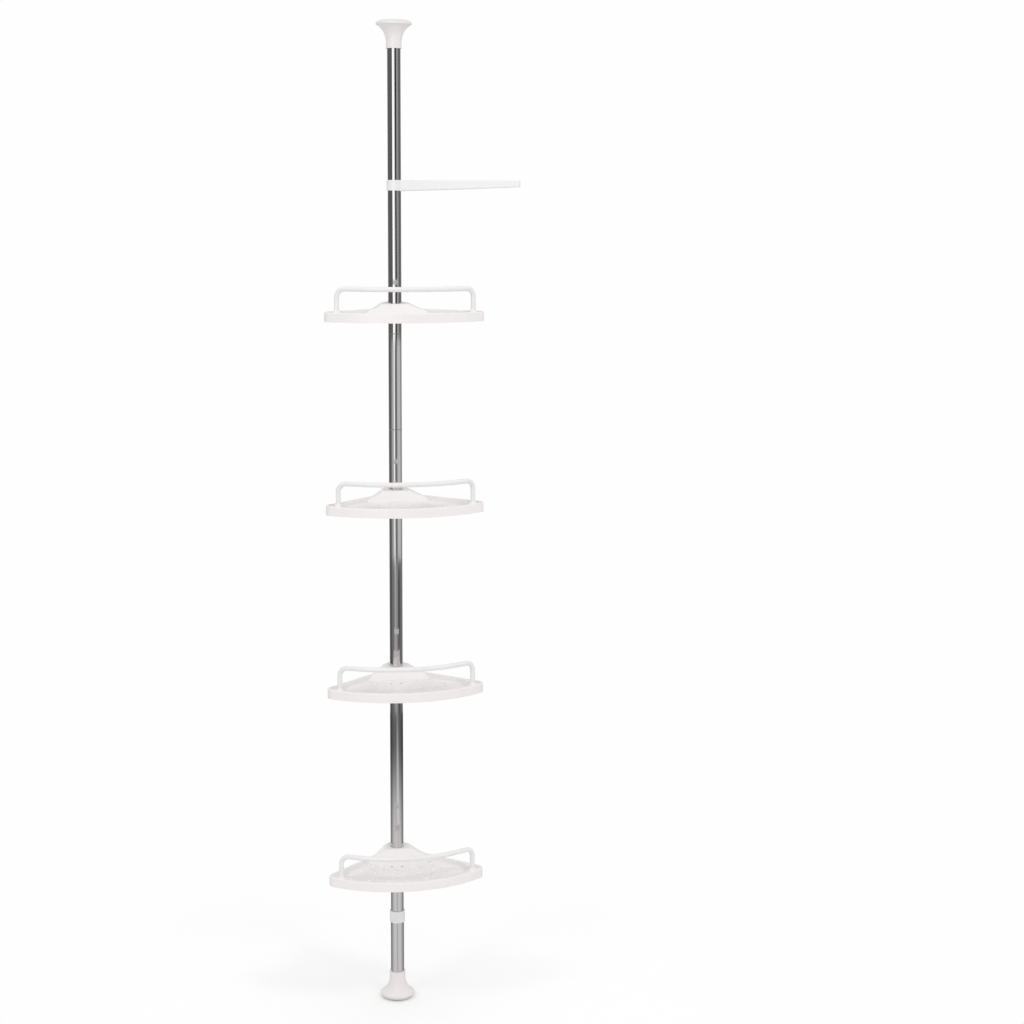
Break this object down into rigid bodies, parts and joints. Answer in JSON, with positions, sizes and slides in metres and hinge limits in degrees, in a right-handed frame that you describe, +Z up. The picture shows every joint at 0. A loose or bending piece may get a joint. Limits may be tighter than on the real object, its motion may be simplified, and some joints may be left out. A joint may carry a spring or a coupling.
{
  "type": "shower caddy",
  "caption": "Corner tension-pole shower caddy with quarter-round shelves, guard rails, a towel arm and a sprung base that wedges it between floor and ceiling.",
  "frame": {"origin": "on the pole's axis, at the flat underside of the floor pad", "axes": "+Z up along the pole, -Y out of the corner towards the user, +X to the right seen from there"},
  "size_m": [0.3688, 0.221, 1.8822],
  "materials": {
    "pole_chrome": "polished",
    "foot_plastic": "moulded, semi-gloss",
    "foot_pad": "soft, matt",
    "arm_plastic": "moulded, semi-gloss",
    "shelf_plastic": "moulded, semi-gloss",
    "rail_coat": "extruded, semi-gloss",
    "inner_plastic": "moulded, matt",
    "coupler_plastic": "moulded, matt",
    "spring_steel": "bright drawn wire"
  },
  "bodies": {
    "base": {"floor_foot": "foot_plastic", "floor_pad": "foot_pad", "base_tube": "pole_chrome", "spring_seat": "inner_plastic", "tension_spring": "spring_steel", "lock_collet": "inner_plastic"},
    "lock_collar": {"lock_collar": "arm_plastic"},
    "pole": {"plunger_tip": "inner_plastic", "lower_tube": "pole_chrome", "lower_coupler": "coupler_plastic", "middle_tube": "pole_chrome", "middle_coupler": "coupler_plastic", "extension_tube": "pole_chrome", "upper_coupler": "coupler_plastic", "upper_tube": "pole_chrome", "ceiling_foot": "foot_plastic", "ceiling_pad": "foot_pad"},
    "shelf_1_clip": {"shelf_1_clip_left": "inner_plastic", "shelf_1_clip_right": "inner_plastic"},
    "shelf_1": {"shelf_1_tray": "shelf_plastic", "shelf_1_rail": "rail_coat"},
    "shelf_2_clip": {"shelf_2_clip_left": "inner_plastic", "shelf_2_clip_right": "inner_plastic"},
    "shelf_2": {"shelf_2_tray": "shelf_plastic", "shelf_2_rail": "rail_coat"},
    "shelf_3_clip": {"shelf_3_clip_left": "inner_plastic", "shelf_3_clip_right": "inner_plastic"},
    "shelf_3": {"shelf_3_tray": "shelf_plastic", "shelf_3_rail": "rail_coat"},
    "shelf_4_clip": {"shelf_4_clip_left": "inner_plastic", "shelf_4_clip_right": "inner_plastic"},
    "shelf_4": {"shelf_4_tray": "shelf_plastic", "shelf_4_rail": "rail_coat"},
    "arm_sleeve": {"arm_sleeve": "inner_plastic"},
    "towel_arm": {"towel_arm": "arm_plastic"}
  },
  "joints": [
    {"name": "tension_slide", "type": "slide", "parent": "base", "child": "pole", "axis": [0, 0, 1], "range_m": [-0.04, 0], "stiffness_N_per_m": 1500, "springref_m": 0.04, "deforming": ["tension_spring"]},
    {"name": "lock_collar_turn", "type": "hinge", "parent": "base", "child": "lock_collar", "pos_m": [0, 0, 0.1664], "axis": [0, 0, 1], "range_deg": [0, 120]},
    {"name": "shelf_1_slide", "type": "slide", "parent": "pole", "child": "shelf_1_clip", "axis": [0, 0, 1], "range_m": [-0.12, 0.12]},
    {"name": "shelf_1_swivel", "type": "hinge", "parent": "shelf_1_clip", "child": "shelf_1", "pos_m": [0, 0, 1.3567], "axis": [0, 0, 1], "continuous": true},
    {"name": "shelf_2_slide", "type": "slide", "parent": "pole", "child": "shelf_2_clip", "axis": [0, 0, 1], "range_m": [-0.12, 0.12]},
    {"name": "shelf_2_swivel", "type": "hinge", "parent": "shelf_2_clip", "child": "shelf_2", "pos_m": [0, 0, 1.0048], "axis": [0, 0, 1], "continuous": true},
    {"name": "shelf_3_slide", "type": "slide", "parent": "pole", "child": "shelf_3_clip", "axis": [0, 0, 1], "range_m": [-0.12, 0.12]},
    {"name": "shelf_3_swivel", "type": "hinge", "parent": "shelf_3_clip", "child": "shelf_3", "pos_m": [0, 0, 0.6615], "axis": [0, 0, 1], "continuous": true},
    {"name": "shelf_4_slide", "type": "slide", "parent": "pole", "child": "shelf_4_clip", "axis": [0, 0, 1], "range_m": [-0.03, 0.12]},
    {"name": "shelf_4_swivel", "type": "hinge", "parent": "shelf_4_clip", "child": "shelf_4", "pos_m": [0, 0, 0.2994], "axis": [0, 0, 1], "continuous": true},
    {"name": "arm_slide", "type": "slide", "parent": "pole", "child": "arm_sleeve", "axis": [0, 0, 1], "range_m": [-0.04, 0.23]},
    {"name": "arm_swing", "type": "hinge", "parent": "arm_sleeve", "child": "towel_arm", "pos_m": [0, 0, 1.5837], "axis": [0, 0, 1], "continuous": true}
  ]
}
